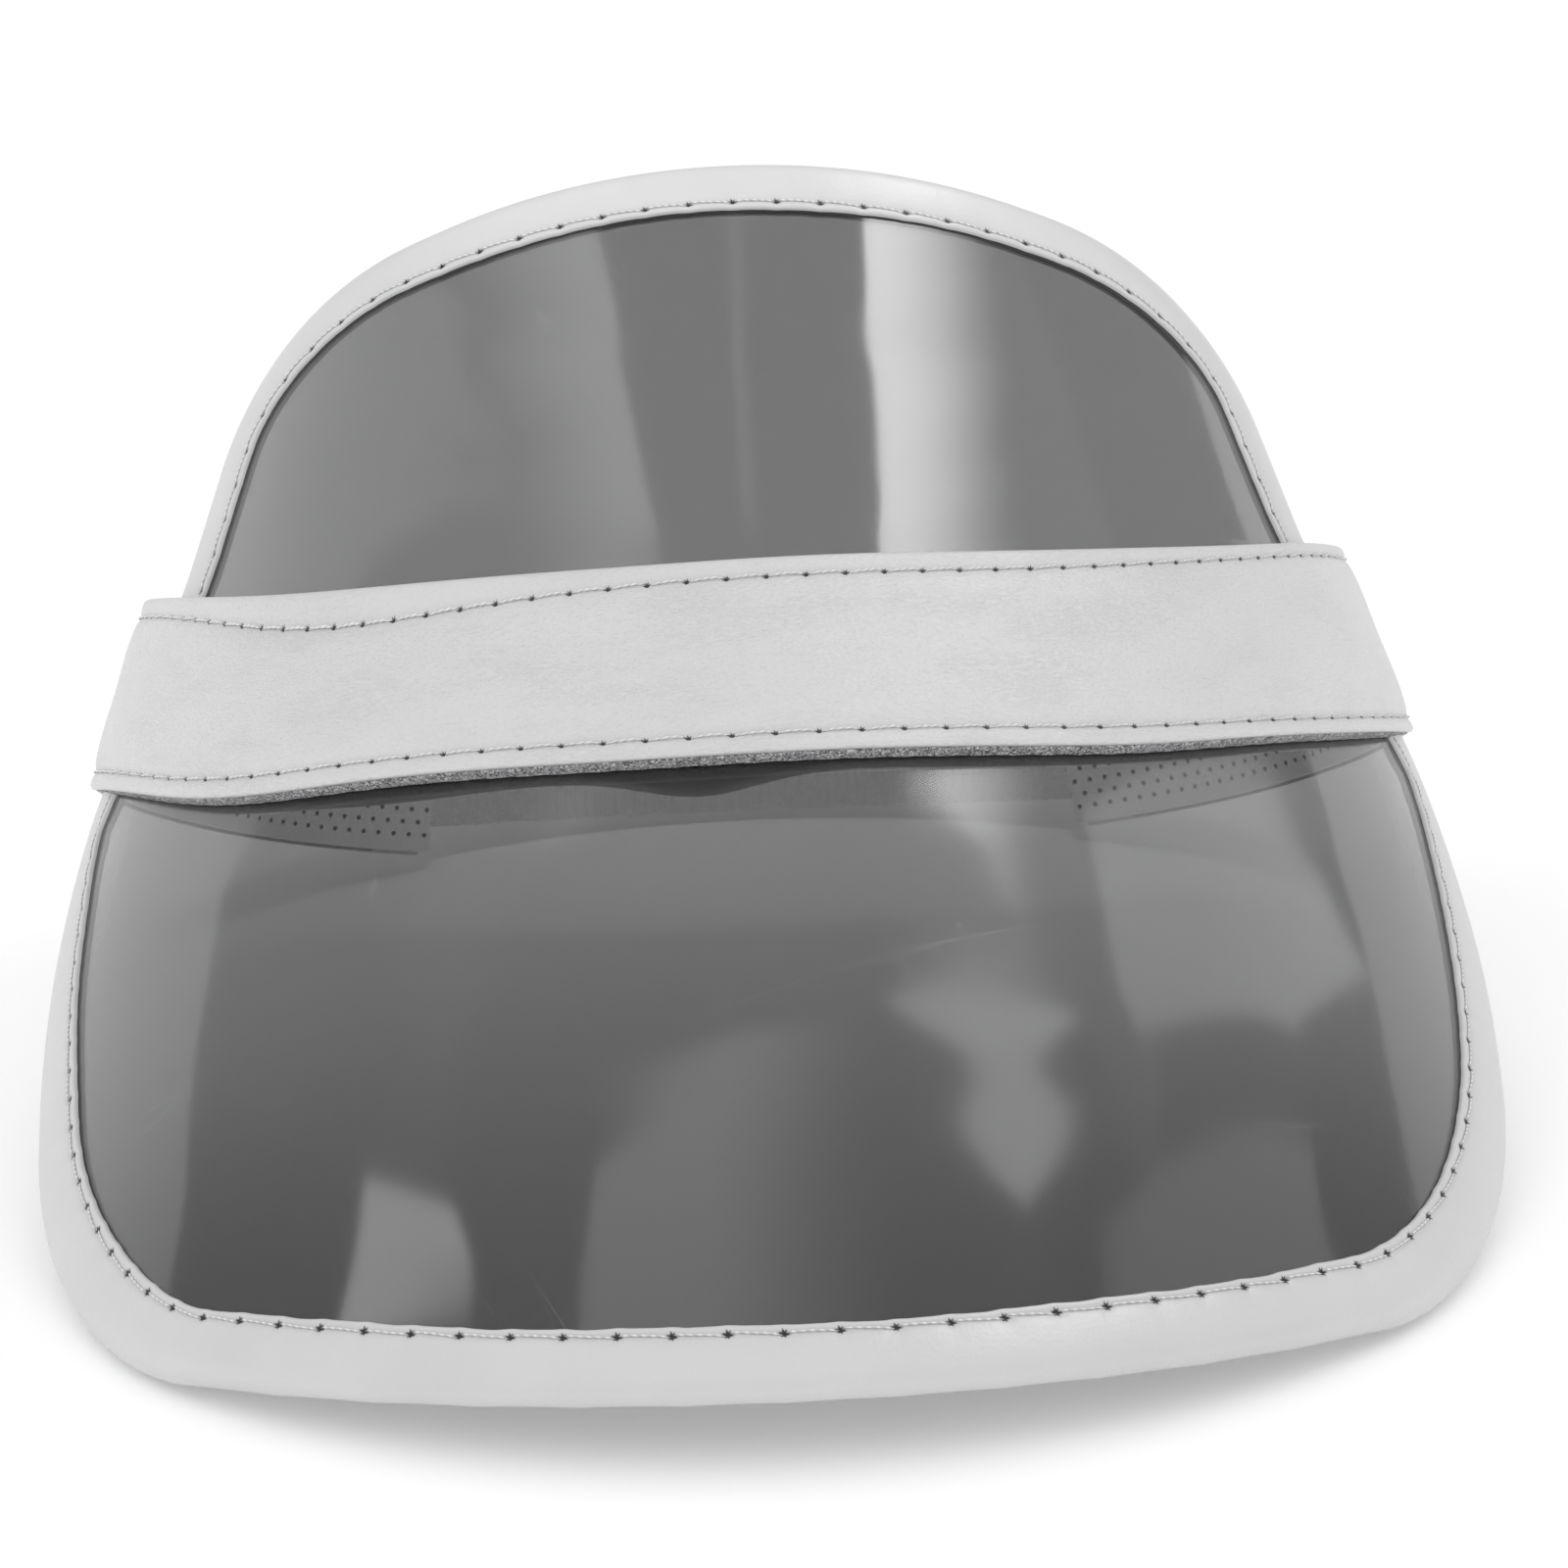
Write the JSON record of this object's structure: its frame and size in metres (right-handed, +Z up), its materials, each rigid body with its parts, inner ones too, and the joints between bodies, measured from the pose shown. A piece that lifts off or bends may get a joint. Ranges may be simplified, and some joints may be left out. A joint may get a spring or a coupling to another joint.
{
  "type": "sun visor",
  "caption": "Translucent smoke-grey sun visor with a stitched white binding, a padded head band and an elastic back.",
  "frame": {"origin": "centre of the footprint, on the surface that the visor rests on", "axes": "+Z up, -Y the way the wearer looks, +X to the right when the brim points at the viewer"},
  "size_m": [0.1808, 0.273, 0.1155],
  "materials": {
    "smoke_pvc": "glossy translucent smoke-grey PVC sheet",
    "binding_tape": "soft white leather-grained tape",
    "white_pu": "soft white leather-grained PU",
    "grey_foam": "flecked grey open foam",
    "perforated_lining": "matt white lining with rows of small holes",
    "white_elastic": "gathered white elastic webbing",
    "white_thread": "matt white sewing thread"
  },
  "bodies": {
    "root": {"visor_sheet": "smoke_pvc", "edge_binding": "binding_tape", "binding_needle_thread": "white_thread", "binding_bobbin_thread": "white_thread", "band_cover": "white_pu", "band_foam": "grey_foam", "sweatband_lining": "perforated_lining", "band_upper_thread": "white_thread", "band_lower_thread": "white_thread", "rear_elastic": "white_elastic"},
    "left_tail": {"left_tail_cover": "white_pu", "left_tail_foam": "grey_foam", "left_tail_lining": "perforated_lining", "left_tail_thread": "white_thread", "left_join_thread": "white_thread"},
    "right_tail": {"right_tail_cover": "white_pu", "right_tail_foam": "grey_foam", "right_tail_lining": "perforated_lining", "right_tail_thread": "white_thread", "right_join_thread": "white_thread"}
  },
  "joints": [
    {"name": "left_tail_flex", "type": "hinge", "parent": "root", "child": "left_tail", "pos_m": [-0.08642, 0.02983, 0.04581], "axis": [0.2026, 0.6943, 0.6906], "range_deg": [-4, 12], "stiffness_Nm_per_rad": 0.12, "deforming": ["rear_elastic"]},
    {"name": "right_tail_flex", "type": "hinge", "parent": "root", "child": "right_tail", "pos_m": [0.08642, 0.02983, 0.04581], "axis": [0.2026, -0.6943, -0.6906], "range_deg": [-4, 12], "stiffness_Nm_per_rad": 0.12}
  ],
  "couplings": [
    {"joint": "right_tail_flex", "follows": "left_tail_flex", "ratio": 1}
  ]
}
